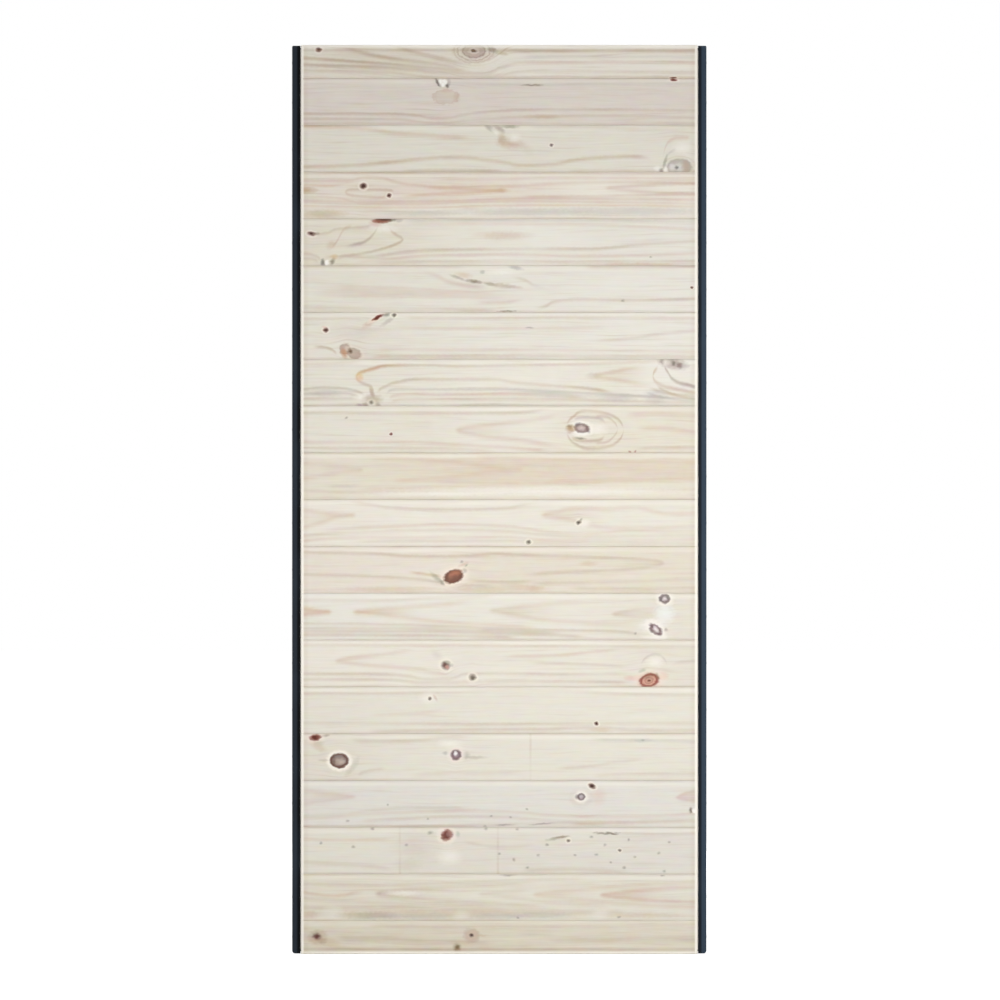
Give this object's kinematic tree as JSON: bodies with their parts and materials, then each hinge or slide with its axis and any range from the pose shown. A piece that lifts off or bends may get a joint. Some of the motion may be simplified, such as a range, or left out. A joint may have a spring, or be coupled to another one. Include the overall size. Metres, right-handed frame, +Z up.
{
  "type": "sliding door leaf",
  "caption": "Sliding door leaf of horizontal tongue-and-groove pine boards whose ends sit in upright black steel channels, with a floor-guide groove in its lower edge.",
  "frame": {"origin": "middle of the leaf's flat top edge, where its hangers are screwed on", "axes": "+Z up, +X along the boards in the direction of travel, -Y out of the front face"},
  "size_m": [0.93, 0.04, 2.04],
  "materials": {
    "pine": "planed, left raw",
    "black_steel": "satin powder coat"
  },
  "bodies": {
    "root": {"top_board": "pine", "board_02": "pine", "board_03": "pine", "board_04": "pine", "board_05": "pine", "board_06": "pine", "board_07": "pine", "board_08": "pine", "board_09": "pine", "board_10": "pine", "board_11": "pine", "board_12": "pine", "board_13": "pine", "board_14": "pine", "board_15": "pine", "board_16": "pine", "board_17": "pine", "board_18": "pine", "board_19": "pine", "bottom_board": "pine", "left_channel": "black_steel", "right_channel": "black_steel"}
  },
  "joints": []
}
